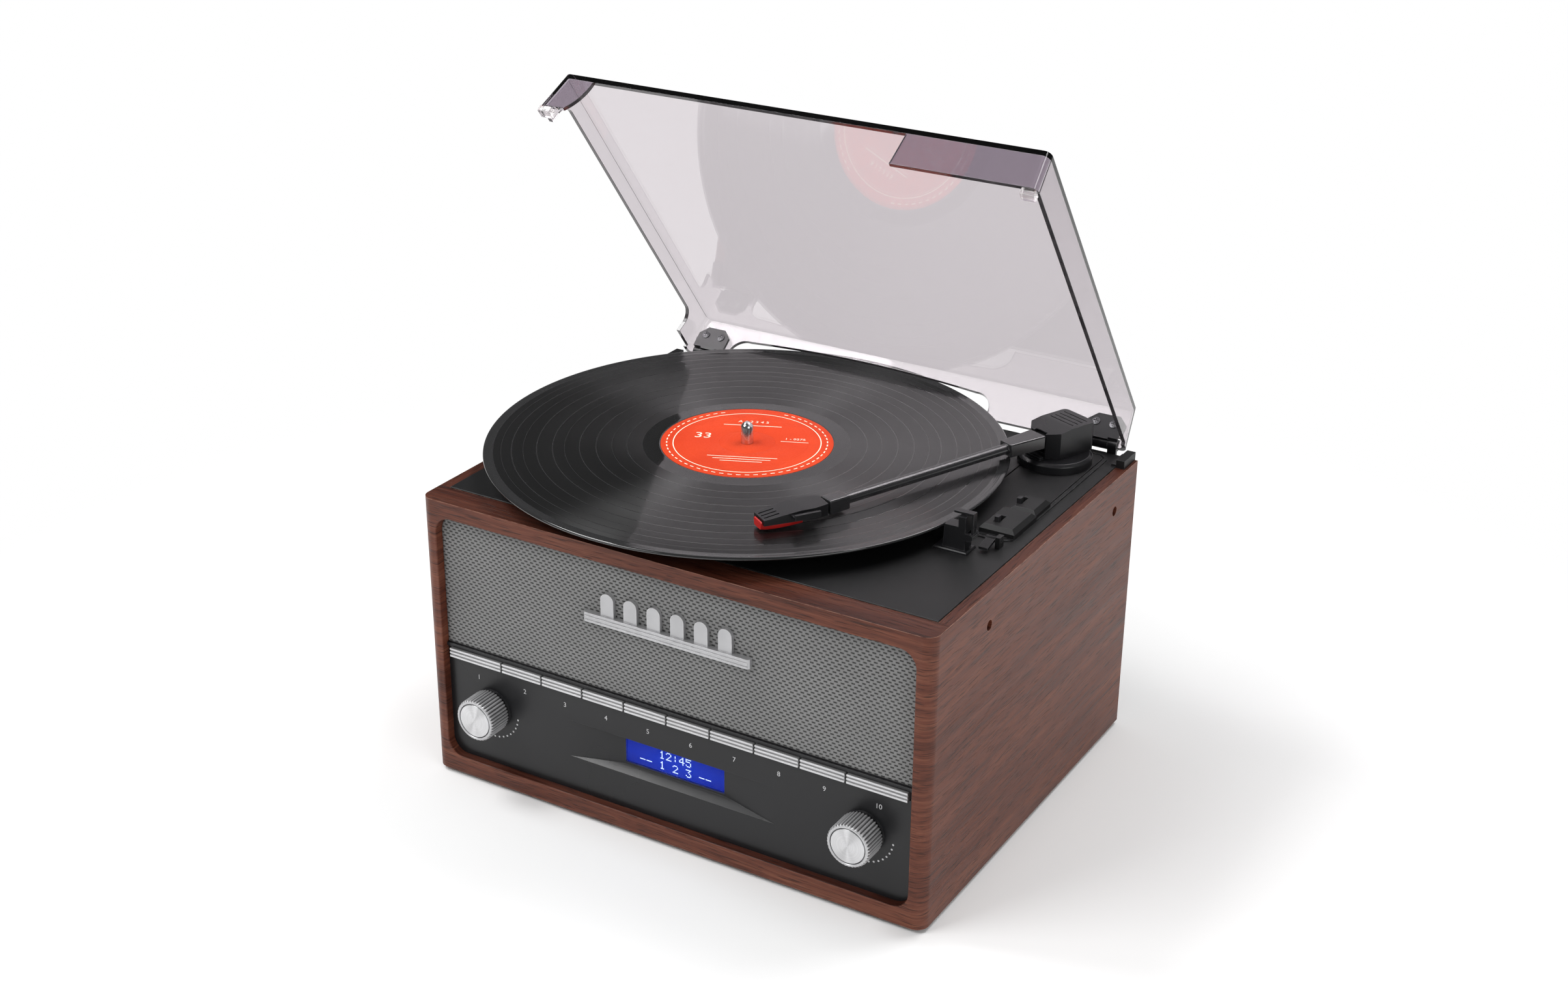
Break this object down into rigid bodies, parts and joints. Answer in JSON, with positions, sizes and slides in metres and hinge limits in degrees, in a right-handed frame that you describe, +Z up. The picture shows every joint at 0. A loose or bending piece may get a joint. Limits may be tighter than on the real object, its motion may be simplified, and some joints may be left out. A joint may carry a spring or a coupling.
{
  "type": "stereo music centre",
  "caption": "Record player in a walnut cabinet with an open smoked lid, tonearm, platter and record, cloth front, silver buttons, two knobs and a blue display.",
  "frame": {"origin": "centre of the cabinet's flat underside, 2.5 mm above the surface that the feet stand on", "axes": "+X to the right seen from the front, +Y to the back, +Z up"},
  "size_m": [0.3421, 0.3016, 0.3873],
  "materials": {
    "walnut_veneer": "satin reddish brown walnut veneer, fine grain",
    "fibreboard": "bare fibreboard",
    "back_board": "black pressed board",
    "black_satin": "satin black moulded plastic",
    "black_gloss": "polished black plastic",
    "grille_weave": "grey woven speaker cloth with dark flecks",
    "silver_controls": "satin silver",
    "bright_chrome": "bright chrome",
    "smoked_clear": "clear lightly smoked plastic",
    "display_clear": "clear window",
    "display_blue": "blue lit display",
    "vinyl": "glossy grooved vinyl",
    "label_paper": "orange paper with a cream ring",
    "black_rubber": "matt rubber",
    "clear_rubber": "soft translucent rubber",
    "board_green": "circuit board",
    "plain_steel": "plain steel",
    "black_metal": "black painted steel",
    "copper_screw": "copper-coloured screw",
    "platter_metal": "dark satin aluminium",
    "red_stylus": "translucent red plastic"
  },
  "bodies": {
    "cabinet": {"cabinet_wrap": "walnut_veneer", "bottom_board": "fibreboard", "back_panel": "back_board", "feet": "black_rubber", "screws": "copper_screw", "speaker_baffle": "fibreboard", "grille_cloth": "grille_weave", "speakers": "plain_steel", "badge": "bright_chrome", "fascia": "black_satin", "display_window": "display_clear", "display_module": "display_blue", "front_board": "board_green", "panel_controls": "plain_steel", "main_board": "board_green", "transformer": "plain_steel", "socket_panel": "black_satin", "mains_inlet": "black_satin", "deck_plate": "black_satin", "spindle_bearing": "plain_steel", "drive_motor": "plain_steel", "drive_belt": "black_rubber", "tonearm_base": "black_satin", "arm_rest": "black_satin", "hinge_bases": "black_metal"},
    "lid": {"lid": "smoked_clear", "lid_bumpers": "clear_rubber", "hinge_leaves": "black_metal"},
    "platter": {"platter": "platter_metal", "slip_mat": "black_rubber", "record": "vinyl", "record_label": "label_paper", "spindle": "bright_chrome"},
    "motor_pulley": {"motor_pulley": "plain_steel"},
    "arm_turret": {"tonearm_housing": "black_satin"},
    "tonearm": {"tonearm_tube": "black_gloss", "headshell": "black_satin", "cartridge": "red_stylus", "stylus": "plain_steel"},
    "cue_lever": {"cue_lever": "black_gloss"},
    "cue_lift_bar": {"cue_lift_bar": "black_gloss"},
    "arm_rest_clip": {"arm_rest_clip": "black_gloss"},
    "speed_switch": {"speed_switch": "black_gloss"},
    "stop_switch": {"stop_switch": "black_gloss"},
    "volume_knob": {"volume_knob": "silver_controls", "volume_knob_cap": "silver_controls", "volume_shaft": "plain_steel"},
    "tuning_knob": {"tuning_knob": "silver_controls", "tuning_knob_cap": "silver_controls", "tuning_shaft": "plain_steel"},
    "button_1": {"button_1": "silver_controls"},
    "button_2": {"button_2": "silver_controls"},
    "button_3": {"button_3": "silver_controls"},
    "button_4": {"button_4": "silver_controls"},
    "button_5": {"button_5": "silver_controls"},
    "button_6": {"button_6": "silver_controls"},
    "button_7": {"button_7": "silver_controls"},
    "button_8": {"button_8": "silver_controls"},
    "button_9": {"button_9": "silver_controls"},
    "button_10": {"button_10": "silver_controls"}
  },
  "joints": [
    {"name": "lid_hinge", "type": "hinge", "parent": "cabinet", "child": "lid", "pos_m": [0, 0.1315, 0.178], "axis": [-1, 0, 0], "range_deg": [-52.5, 0]},
    {"name": "platter_spin", "type": "hinge", "parent": "cabinet", "child": "platter", "pos_m": [-0.0308, 0.0073, 0.173], "axis": [0, 0, -1], "continuous": true},
    {"name": "motor_pulley_spin", "type": "hinge", "parent": "cabinet", "child": "motor_pulley", "pos_m": [-0.10693, -0.0282, 0.173], "axis": [0, 0, -1], "continuous": true},
    {"name": "tonearm_swing", "type": "hinge", "parent": "cabinet", "child": "arm_turret", "pos_m": [0.1204, 0.1003, 0.173], "axis": [0, 0, 1], "range_deg": [-20.9, 23]},
    {"name": "tonearm_lift", "type": "hinge", "parent": "arm_turret", "child": "tonearm", "pos_m": [0.11888, 0.0966, 0.1915], "axis": [-0.9252, 0.3795, 0], "range_deg": [0, 8]},
    {"name": "cue_lever_turn", "type": "hinge", "parent": "cabinet", "child": "cue_lever", "pos_m": [0.137, -0.019, 0.178], "axis": [-1, 0, 0], "range_deg": [0, 50]},
    {"name": "cue_lift", "type": "slide", "parent": "cabinet", "child": "cue_lift_bar", "axis": [0, 0, 1], "range_m": [0, 0.004]},
    {"name": "arm_clip_turn", "type": "hinge", "parent": "cabinet", "child": "arm_rest_clip", "pos_m": [0.1326, -0.0315, 0.183], "axis": [0, 1, 0], "range_deg": [0, 75]},
    {"name": "speed_switch_slide", "type": "slide", "parent": "cabinet", "child": "speed_switch", "axis": [0, 1, 0], "range_m": [0, 0.005]},
    {"name": "stop_switch_slide", "type": "slide", "parent": "cabinet", "child": "stop_switch", "axis": [0, 1, 0], "range_m": [0, 0.005]},
    {"name": "volume_knob_turn", "type": "hinge", "parent": "cabinet", "child": "volume_knob", "pos_m": [-0.1212, -0.1285, 0.0466], "axis": [0, 1, 0], "range_deg": [-150, 150]},
    {"name": "tuning_knob_turn", "type": "hinge", "parent": "cabinet", "child": "tuning_knob", "pos_m": [0.1212, -0.1285, 0.0466], "axis": [0, 1, 0], "continuous": true},
    {"name": "button_1_press", "type": "slide", "parent": "cabinet", "child": "button_1", "axis": [0, 1, 0], "range_m": [0, 0.001], "stiffness_N_per_m": 400, "springref_m": -0.0005},
    {"name": "button_2_press", "type": "slide", "parent": "cabinet", "child": "button_2", "axis": [0, 1, 0], "range_m": [0, 0.001], "stiffness_N_per_m": 400, "springref_m": -0.0005},
    {"name": "button_3_press", "type": "slide", "parent": "cabinet", "child": "button_3", "axis": [0, 1, 0], "range_m": [0, 0.001], "stiffness_N_per_m": 400, "springref_m": -0.0005},
    {"name": "button_4_press", "type": "slide", "parent": "cabinet", "child": "button_4", "axis": [0, 1, 0], "range_m": [0, 0.001], "stiffness_N_per_m": 400, "springref_m": -0.0005},
    {"name": "button_5_press", "type": "slide", "parent": "cabinet", "child": "button_5", "axis": [0, 1, 0], "range_m": [0, 0.001], "stiffness_N_per_m": 400, "springref_m": -0.0005},
    {"name": "button_6_press", "type": "slide", "parent": "cabinet", "child": "button_6", "axis": [0, 1, 0], "range_m": [0, 0.001], "stiffness_N_per_m": 400, "springref_m": -0.0005},
    {"name": "button_7_press", "type": "slide", "parent": "cabinet", "child": "button_7", "axis": [0, 1, 0], "range_m": [0, 0.001], "stiffness_N_per_m": 400, "springref_m": -0.0005},
    {"name": "button_8_press", "type": "slide", "parent": "cabinet", "child": "button_8", "axis": [0, 1, 0], "range_m": [0, 0.001], "stiffness_N_per_m": 400, "springref_m": -0.0005},
    {"name": "button_9_press", "type": "slide", "parent": "cabinet", "child": "button_9", "axis": [0, 1, 0], "range_m": [0, 0.001], "stiffness_N_per_m": 400, "springref_m": -0.0005},
    {"name": "button_10_press", "type": "slide", "parent": "cabinet", "child": "button_10", "axis": [0, 1, 0], "range_m": [0, 0.001], "stiffness_N_per_m": 400, "springref_m": -0.0005}
  ],
  "couplings": [
    {"joint": "motor_pulley_spin", "follows": "platter_spin", "ratio": 11},
    {"joint": "cue_lever_turn", "follows": "cue_lift", "rad_per_m": 218}
  ]
}
